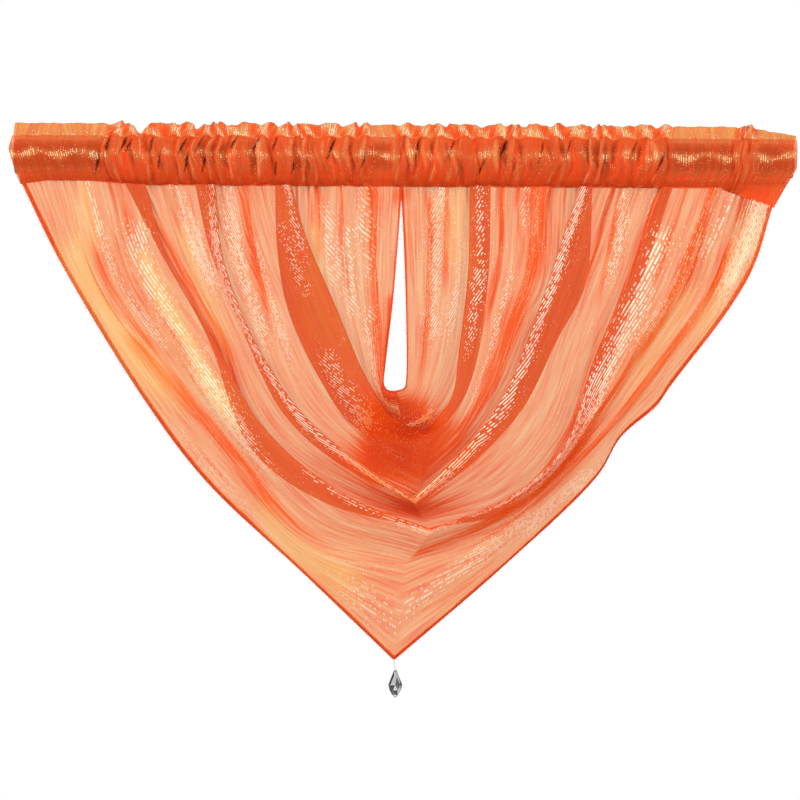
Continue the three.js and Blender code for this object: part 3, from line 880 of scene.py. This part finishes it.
def glass_material():
    """Clear cut glass with painted reflections: each facet is painted a little lighter or darker, standing
    for what it mirrors of its surroundings.
    """
    n = Nodes("cut_glass")
    x, y, z = n.split(n.add("ShaderNodeTexCoord", output="Normal"))
    steps = [n.math("ROUND", n.math("MULTIPLY", part, 2.6)) for part in (x, y, z)]
    painted_facet_reflection = n.chance(n.math("ADD", steps[0], n.math("MULTIPLY", steps[1], 3.0)), steps[2])
    marks = n.noise(n.add("ShaderNodeTexCoord", output="Object"), 1200.0, 2.0)
    tone = n.blend_colour(n.remap(painted_facet_reflection, 0.40, 0.50), (0.06, 0.06, 0.075), (1.0, 1.0, 1.0))
    tone = n.blend_colour(n.remap(marks, 0.62, 0.8), tone, (0.6, 0.6, 0.64))
    inputs = {"Base Color": tone, "Roughness": 0.05, "IOR": 1.3, "Transmission Weight": 0.6}
    return n.finish(n.add("ShaderNodeBsdfPrincipled", inputs))


def clear_thread_material():
    """Clear nylon thread."""
    n = Nodes("clear_thread")
    place = n.add("ShaderNodeTexCoord", output="Object")
    grain = n.noise(place, 1500.0, 2.0)
    tone = n.blend_colour(grain, (0.85, 0.84, 0.84), (0.95, 0.94, 0.94))
    inputs = {"Base Color": tone, "Roughness": 0.15, "IOR": 1.5, "Transmission Weight": 0.6}
    return n.finish(n.add("ShaderNodeBsdfPrincipled", inputs))


def floor_material():
    n = Nodes("studio_floor")
    place = n.add("ShaderNodeTexCoord", output="Object")
    tone = n.blend_colour(n.noise(place, 3.0, 2.0), (0.86, 0.86, 0.86), (0.9, 0.9, 0.9))
    return n.finish(n.add("ShaderNodeBsdfDiffuse", {"Color": tone}))


def soft_spots(grid, table):
    """Sum of a table's soft-edged places, as seen from the front, at each grid point."""
    x, z = grid[:, :, 0], grid[:, :, 2]
    total = np.zeros_like(x)
    for at_x, at_z, wide, tall, amount in table:
        total += amount * bell(x - at_x, wide) * bell(z - at_z, tall)
    return total


def swag_sheet(material):
    """The draped cloth: one thin sheet from the seam to the hem with its folds and bands."""
    grid, deep, glint_bands, gold, panel_across = drape_grid()
    across, along = cloth_coordinates(grid)
    normals = grid_normals(grid)
    steep = np.clip(1 / np.maximum(np.abs(normals[:, :, 1]), 0.3) - 1, 0, 2.3)
    # The threads cross the inner panels at a slant and run nearly along the outer ones
    slant = np.interp(panel_across, [0, 1, 3, 5], [0.45, 0.40, 0.08, 0.04])
    thread = across - slant[:, None] * np.maximum(np.abs(along) - 60, 0)
    # Painted glints from the glint bands, fainter on the deep bands
    glint = 0.03 + 0.9 * glint_bands * (1 - 0.45 * deep)
    dense = 0.85 * deep + 0.5 * np.maximum(steep - 0.08, 0) + soft_spots(grid, DEEP_PLACES)
    # The sewn edges are bright and close-woven, and soft just past their widths
    steps = np.linalg.norm(np.diff(grid, axis=0), axis=2)
    to_neck = np.vstack([np.zeros(grid.shape[1]), np.cumsum(steps, axis=0)])
    to_hem = np.vstack([np.cumsum(steps[::-1], axis=0)[::-1], np.zeros(grid.shape[1])])
    for width, distance in ((HEM_WIDTH, to_hem), (NECK_WIDTH, to_neck)):
        dense += 1.2 * smooth((width + 0.4 - distance) / 0.8)
    gold = gold * (1 - 0.6 * deep)
    shade = soft_spots(grid, SHADE_PLACES)
    light = np.zeros_like(glint)
    attributes = cloth_attributes((thread, along, glint), (dense, gold, shade), (across, along, light))
    faces = grid_faces(*grid.shape[:2])
    return make_piece("swag_sheet", grid, faces, material, attributes), grid


def frill_top(x):
    """Height of the frill's edge: ruffled by the gathers, with one deep notch and a fall on the right."""
    crest, sway = gather_at(x)
    notch = 8 * bell(x + 189, 4) + 3.5 * bell(x + 150, 4)
    right_fall = 6 * np.clip((x - 245) / 35, 0, 1)
    ruffle = 0.9 * np.sin(x * 0.42 + np.sin(x * 0.17)) + 0.4 * np.sin(x * 0.97 + 1)
    ruffle = ruffle * (0.25 + 0.75 * soft_gathered(x)) + 0.15 * np.sin(x * 3.7 + 1)
    return FRILL_TOP + 1.6 * (crest - 0.4) - 0.6 * sway + ruffle - notch - right_fall


def gather_relief(stations, height):
    """How far the pocket's gathers stand out at each station, for a height from 0 (seam) to 1 (stitches).

    Two sets of folds reach into each other, one from the seam up and one from the stitches down.
    """
    phase, size, gathered = gather_phase(stations)
    sway = 0.35 * np.sin(stations / 13 + 0.5)
    low = np.abs(np.sin(PI * (phase + sway * (height - 0.5)))) ** 0.75
    shifted = upper_phase(phase) + 0.3 * np.sin(stations / 19)
    high = np.abs(np.sin(PI * (shifted - sway * (height - 0.5)))) ** 0.75
    low_size = 0.55 + 0.45 * np.sin(np.floor(phase) * 2.4 + 1) ** 2
    high_size = 0.55 + 0.45 * np.sin(np.floor(shifted) * 3.1 + 2) ** 2
    low_part = low * low_size * smooth(1.30 - 1.05 * height)
    high_part = high * high_size * smooth(0.30 + 1.05 * height)
    folds = np.maximum(low_part, high_part) * (0.6 + 0.4 * size)
    creases = 0.10 * np.sin(stations * 1.15 + 5 * height + 2 * np.sin(stations * 0.09)) * folds
    ends = np.sin(PI * np.clip(height, 0.02, 0.98)) ** 0.35
    flat = 0.13 + 0.08 * np.sin(stations * 0.33 + 2.5 * height) * np.sin(stations * 0.07)
    gathers = np.where(gathered, (folds + creases) * ends, flat)
    return mix(flat, gathers, soft_gathered(stations))


def stitch_lift(x):
    """How far the gathers pull the upper row of stitches up or down."""
    phase, size, _ = gather_phase(x)
    return 1.5 * size * np.sin(2 * PI * upper_phase(phase) + 1.2) * soft_gathered(x)


def heading_columns(stations, lower, top):
    """Columns of the heading from the seam up the front, over the frill and down the back."""
    _, sway = gather_at(stations)
    lift = stitch_lift(stations)
    ribbon = RIBBON_WAVE * sway
    phase, size, _ = gather_phase(stations)
    cavity_bottom = np.maximum(lower + 2.6, -17)
    middle = (STITCH_Z - WALL + cavity_bottom) / 2
    rise = (STITCH_Z - WALL - cavity_bottom) / 2 + WALL
    columns = []

    def wall(degrees, sign):
        angle = math.radians(degrees)
        height = 0.5 + 0.5 * math.sin(angle)
        relief = gather_relief(stations if sign < 0 else stations + 7, height)
        reach = ROD_RADIUS + POCKET_CLEARANCE + GATHER_DEPTH * relief
        lean = GATHER_LEAN * GATHER_DEPTH * relief * np.sin(stations / 15 + 2 * height) * math.cos(angle)
        y = sign * reach * math.cos(angle)
        z = middle + rise * math.sin(angle) + lift * smooth((math.sin(angle) - 0.4) / 0.6)
        columns.append({"y": y, "z": z, "x": lean, "relief": relief, "kind": "wall"})

    def frill(share, sign):
        wave = np.sin(2 * PI * upper_phase(phase) + 2.4 * share) * (0.45 + 0.55 * size)
        wave = 0.75 * wave + 0.25 * np.sin(2 * PI * phase * 2.3 - 2.0 * share) * soft_gathered(stations)
        puff = RIBBON_HALF * (1 + 1.2 * math.sin(PI * share))
        z = mix(STITCH_Z + lift, top, share)
        slant = FRILL_SLANT * (z - STITCH_Z) * np.sin(stations / 9)
        y = FRILL_WAVE * wave * share ** 0.8 + sign * puff * (1 - share ** 6)
        columns.append({"y": y, "z": z, "x": slant, "relief": 0.5 + 0.5 * wave, "kind": "frill"})

    seam = {"x": 0 * stations, "z": lower, "relief": 0 * stations, "kind": "seam"}
    columns.append({**seam, "y": ribbon - RIBBON_HALF})
    for degrees in range(-72, 73, 6):
        wall(degrees, -1)
    shares = np.linspace(0, 1, 8)
    for share in shares:
        frill(share, -1)
    for share in shares[-2::-1]:
        frill(share, 1)
    for degrees in range(72, -73, -9):
        wall(degrees, 1)
    columns.append({**seam, "y": ribbon + RIBBON_HALF})
    return columns


def heading_grid(stations, columns):
    """The heading as grid[station, column]: x, y, z, and its relief. Its two ends are slanted."""
    grid = np.zeros((len(stations), len(columns), 3))
    relief = np.zeros(grid.shape[:2])
    inner = smooth((stations - stations[0]) / 8) * smooth((stations[-1] - stations) / 8)
    for j, column in enumerate(columns):
        grid[:, j, 0] = slanted_x(stations, column["z"]) + column["x"] * inner
        grid[:, j, 1] = column["y"]
        grid[:, j, 2] = column["z"]
        relief[:, j] = column["relief"]
    return grid, relief


def heading_coordinates(grid):
    """Millimetres along the heading and up its cloth at each grid point."""
    across = np.linalg.norm(np.diff(grid, axis=0), axis=2).mean(axis=1)
    run = np.concatenate([[0], np.cumsum(across)])[:, None] * np.ones(grid.shape[:2])
    around = np.linalg.norm(np.diff(grid, axis=1), axis=2)
    up = np.hstack([np.zeros((len(grid), 1)), np.cumsum(around, axis=1)])
    return run, up


def painted_gap_shade(grid):
    """Painted shade: 1 in the dark gaps painted between the gathers, which are bent and tapered strokes, and
    0 elsewhere.
    """
    height = grid[:, :, 2]
    gap_shade = np.zeros_like(height)
    for x, z, wide, tall in PAINTED_GAP_SHADES:
        rise = height - z
        bent = x + 0.28 * rise + 1.2 * np.sin(rise / tall + x)
        taper = 0.45 * wide * (1 + 0.6 * np.sin(x) * rise / tall)
        gap_shade = np.maximum(gap_shade, smooth(1.6 - ((grid[:, :, 0] - bent) / taper) ** 2 - (rise / tall) ** 2))
    return gap_shade


def painted_gather_edges(stations, relief, gathered):
    """Painted light and painted shade: the lit edge and the shaded edge of each gather, found from its slope.
    They change sides along the rod.
    """
    facing = np.clip(3 * np.sin(stations / 23 + 1), -1, 1)[:, None]
    slope = np.gradient(relief, axis=0) * facing
    slope = slope / np.percentile(np.abs(slope), 93)
    return smooth(1.5 * slope - 0.4) * gathered, smooth(-1.5 * slope - 0.4) * gathered


def heading_state(stations, grid, relief, frill):
    """How dense and golden the heading's cloth is at each grid point, with its painted shade, painted glints
    and painted light.
    """
    height = grid[:, :, 2]
    pocket = 1 - frill
    gathered = soft_gathered(stations)[:, None]
    ridge = smooth(relief * 2.0 - 0.5)
    rod_band = smooth((11 - np.abs(height)) / 5) * pocket
    painted_lit_edge, painted_shaded_edge = painted_gather_edges(stations, relief, gathered)

    # Denser where the gathers lie deep, as the cloth bunches there, with ridges painted lighter and valleys
    # darker as painted shade; denser in front of the rod where the cloth is flat, close-woven at the seam,
    # and on the frill painted shade in strokes, darker in its wave troughs and where it turns sideways
    near_seam = smooth((-9 - height) / 5)
    sideways = np.abs(grid_normals(grid)[:, :, 0])
    dense = pocket * mix(0.35 + 0.30 * rod_band, 0.85 - 0.35 * ridge + 0.15 * painted_lit_edge, gathered)
    dense = mix(dense, 0.9, 0.8 * near_seam)
    frill_wave_shade = 2.0 * np.maximum(1 - relief, 0) ** 1.3 + 0.7 * sideways - 1.0
    dense += frill * mix(-0.3, frill_wave_shade, gathered)

    # Painted highlights: an uneven line along the rod painted on the cloth as glints, gold and light, painted
    # glints on the lit edges and the frill's ridges, and painted light on the lit edges
    uneven = 0.5 + 0.5 * np.sin(stations * 0.31 + 3 * np.sin(stations * 0.043))[:, None]
    highlight = bell(height - 1.5 - 1.6 * np.sin(stations * 0.21)[:, None], 1.6 + 1.4 * uneven)
    highlight *= mix(0.65 + 0.35 * uneven, 0.15 + 0.65 * ridge * uneven, gathered) * pocket
    glint = 0.03 + 0.9 * highlight + 0.55 * painted_lit_edge * uneven + frill * 0.7 * ridge
    gold = 0.12 * frill + 0.3 * highlight
    light = 0.75 * painted_lit_edge * pocket * (0.5 + 0.5 * uneven) + 0.5 * highlight

    # Painted shade: dark in the valleys, on the shaded edges, in the gaps, and where the rod shows through
    # flat cloth
    valley = smooth(1 - relief * 2.6) * gathered * pocket
    gap_shade = painted_gap_shade(grid) * pocket * smooth(1.6 - 1.2 * relief)
    shade = (0.55 * valley**2 + 0.50 * painted_shaded_edge) * (0.55 + 0.45 * rod_band) * pocket
    shade += 0.85 * gap_shade + 0.30 * rod_band * (1 - gathered)
    return dense, gold, shade * (1 - 0.8 * highlight), glint, light


def heading_sheet(material):
    """The rod pocket and its frill: one sheet up the front, over the frill's fold and down the back."""
    stations = np.linspace(STRETCHES[0][0], STRETCHES[-1][1], HEADING_STATIONS)
    columns = heading_columns(stations, lower_edge_on(stations), frill_top(stations))
    grid, relief = heading_grid(stations, columns)
    kinds = np.array([column["kind"] for column in columns])
    frill = (kinds == "frill")[None, :] * np.ones_like(relief)
    dense, gold, shade, glint, light = heading_state(stations, grid, relief, frill)
    run, up = heading_coordinates(grid)
    attributes = cloth_attributes((run, up, glint), (dense, gold, shade), (run, up, light))
    return make_piece("heading_sheet", grid, grid_faces(*grid.shape[:2]), material, attributes)


def tube(points, radius, sides=5):
    """Points and faces of a thin closed tube along a path, in millimetres."""
    points = np.asarray(points, float)
    ways = unit(np.gradient(points, axis=0))
    helper = np.where(np.abs(ways[:, :1]) > 0.9, [[0, 0, 1]], [[1, 0, 0]])
    first = unit(np.cross(ways, helper))
    second = np.cross(ways, first)
    angles = np.arange(sides) * 2 * PI / sides
    rings = (
        points[:, None]
        + radius * np.cos(angles)[None, :, None] * first[:, None]
        + radius * np.sin(angles)[None, :, None] * second[:, None]
    )
    faces = grid_faces(len(points), sides, closed=True)
    last = (len(points) - 1) * sides
    faces += [tuple(range(sides))[::-1], tuple(last + k for k in range(sides))]
    return rings.reshape(-1, 3), faces


def join(parts):
    """Several (points, faces) as one."""
    points, faces, count = [], [], 0
    for part_points, part_faces in parts:
        points.append(part_points)
        faces += [tuple(i + count for i in face) for face in part_faces]
        count += len(part_points)
    return np.vstack(points), faces


def resample(path, pitch):
    steps = np.linalg.norm(np.diff(path, axis=0), axis=1)
    count = max(2, int(steps.sum() / pitch))
    return along_path(path, np.linspace(0, 1, count + 1))


def overlock(name, edge, inner, material, width, fibre_share):
    """Overlock stitches wrapped round an edge of the cloth, with loose fibre ends beyond it."""
    path = resample(edge, OVERLOCK_PITCH)
    # The inner path gets as many points as the edge has
    inner_length = np.linalg.norm(np.diff(inner, axis=0), axis=1).sum()
    inside = resample(inner, inner_length / (len(path) - 1) * 0.9999)
    inside = inside[:len(path)]
    path = path[:len(inside)]
    inward = unit(inside - path)
    front = np.array([0, -0.5, 0])
    loop = []
    for i in range(len(path) - 1):
        middle = mix(path[i], path[i + 1], 0.5)
        reach = width * rng.uniform(0.8, 1.15)
        loop += [
            path[i] - inward[i] * 0.3,
            path[i] + inward[i] * reach + front,
            middle - inward[i] * 0.35,
            middle + inward[i] * reach - front,
        ]
    parts = [tube(np.array(loop), OVERLOCK_RADIUS, 4)]
    for i in range(len(path)):
        if rng.random() > fibre_share:
            continue
        start = path[i] - inward[i] * 0.1
        slant = rng.normal(0, 0.45, 3) * [1, 0.5, 1]
        tip = start + (unit(-inward[i] + slant)) * rng.uniform(0.7, 2.4)
        middle = mix(start, tip, 0.5) + rng.normal(0, 0.12, 3)
        parts.append(tube(np.array([start, middle, tip]), FIBRE_RADIUS, 3))
    return make_piece(name, *join(parts), material)


def stitch_line(name, points, material):
    """Short stitches at the given places, each lying along the path."""
    ways = unit(np.gradient(points, axis=0))
    lift = np.array([0, -0.1, 0])
    parts = []
    for point, way in zip(points, ways):
        half = way * STITCH_LENGTH / 2
        parts.append(tube(np.array([point - half, point + lift, point + half]), STITCH_RADIUS, 5))
    return make_piece(name, *join(parts), material)


def top_stitches(material, sign):
    """The row of stitches between the pocket and the frill."""
    stations = np.arange(-276, 277, TOP_STITCH_PITCH)
    y = sign * (RIBBON_HALF + 0.15) * np.ones_like(stations)
    points = np.stack([slanted_x(stations, STITCH_Z), y, STITCH_Z + stitch_lift(stations)], axis=-1)
    return stitch_line("top_stitches_front" if sign < 0 else "top_stitches_back", points, material)


def seam_stitches(material, sign):
    """The row of stitches that joins the swag to the pocket."""
    stations = np.arange(-272, 275, SEAM_STITCH_PITCH)
    _, sway = gather_at(stations)
    z = lower_edge_on(stations) + 0.9
    y = RIBBON_WAVE * sway + sign * (RIBBON_HALF + 0.3)
    points = np.stack([slanted_x(stations, z), y, z], axis=-1)
    return stitch_line("seam_stitches_front" if sign < 0 else "seam_stitches_back", points, material)


def make_camera():
    """A long lens straight at the front, turned by a third of a degree as in the photograph."""
    data = bpy.data.cameras.new("camera")
    data.lens = CAMERA_LENS
    data.clip_start = 0.1
    data.clip_end = 20
    camera = add_object("camera", data)
    camera.location = CAMERA_PLACE
    camera.rotation_euler = (PI / 2, math.radians(CAMERA_ROLL), 0)
    bpy.context.scene.camera = camera


def area_light(name, place, aim, size, power):
    """A soft white light that points at a place."""
    data = bpy.data.lights.new(name, "AREA")
    data.shape = "RECTANGLE"
    data.size, data.size_y = size
    data.energy = power
    light = add_object(name, data)
    light.location = place
    way = np.array(aim) - np.array(place)
    light.rotation_euler = (
        math.acos(-way[2] / np.linalg.norm(way)),
        0,
        math.atan2(way[1], way[0]) - PI / 2,
    )


def make_world():
    """A white surround, brighter to the camera than to the object."""
    world = bpy.data.worlds.new("studio")
    bpy.context.scene.world = world
    world.use_nodes = True
    tree = world.node_tree
    tree.nodes.clear()
    path = tree.nodes.new("ShaderNodeLightPath")
    pick = tree.nodes.new("ShaderNodeMixShader")
    out = tree.nodes.new("ShaderNodeOutputWorld")
    tree.links.new(path.outputs["Is Camera Ray"], pick.inputs[0])
    for socket, strength in ((1, 0.42), (2, 1.0)):
        white = tree.nodes.new("ShaderNodeBackground")
        white.inputs["Color"].default_value = (1, 1, 1, 1)
        white.inputs["Strength"].default_value = strength
        tree.links.new(white.outputs[0], pick.inputs[socket])
    tree.links.new(pick.outputs[0], out.inputs["Surface"])


def make_studio():
    """Soft light from the front and above, a white surround and a pale floor."""
    area_light("key", (-1.3, -2.0, 1.2), (0, 0, -0.15), (1.1, 1.1), 37)
    area_light("fill", (1.5, -1.9, 0.4), (0, 0, -0.15), (1.2, 1.2), 16)
    area_light("front_strip", (0, -2.9, 0.35), (0, 0, -0.1), (2.2, 0.5), 17)
    area_light("back", (0.2, 1.8, 0.9), (0, 0, -0.15), (1.6, 1.2), 14)
    make_world()

    mesh = bpy.data.meshes.new("studio_floor")
    sides = 64
    angles = [2 * PI * k / sides for k in range(sides)]
    ring = [(FLOOR_RADIUS * math.cos(a), FLOOR_RADIUS * math.sin(a), FLOOR_HEIGHT) for a in angles]
    mesh.from_pydata(ring, [], [tuple(range(sides))])
    mesh.materials.append(floor_material())
    floor = add_object("studio_floor", mesh)
    bpy.context.scene.view_settings.view_transform = "Standard"
    bpy.context.scene.cycles.transparent_max_bounces = 32
    bpy.context.scene.cycles.max_bounces = 12


def set_material(node, material):
    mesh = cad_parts[node].data
    mesh.materials.clear()
    mesh.materials.append(material)


def main():
    make_camera()
    make_studio()
    swag_voile = voile_material("swag_voile", 0.68, (0.87, 0.195, 0.052), (0.90, 0.098, 0.010))
    heading_voile = voile_material("heading_voile", 0.62, (0.98, 0.24, 0.06), (1.0, 0.080, 0.010))
    edging = thread_material("edge_thread", (1.0, 0.22, 0.05), (1.0, 0.09, 0.012))

    swag, grid = swag_sheet(swag_voile)
    heading = heading_sheet(heading_voile)
    hem = overlock("hem_overlock", grid[-1], grid[-3], edging, HEM_WIDTH, fibre_share=1.0)
    neck = overlock("neck_overlock", grid[0], grid[3], edging, NECK_WIDTH, fibre_share=0.3)
    rows = [row(edging, sign) for row in (top_stitches, seam_stitches) for sign in (-1, 1)]

    for piece in (swag, heading, hem, neck, *rows):
        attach(piece, "curtain")
    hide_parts("swag_cloth")
    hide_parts("heading")

    set_material("rod", rod_material())
    set_material("crystal_drop", glass_material())
    set_material("drop_thread", clear_thread_material())


main()
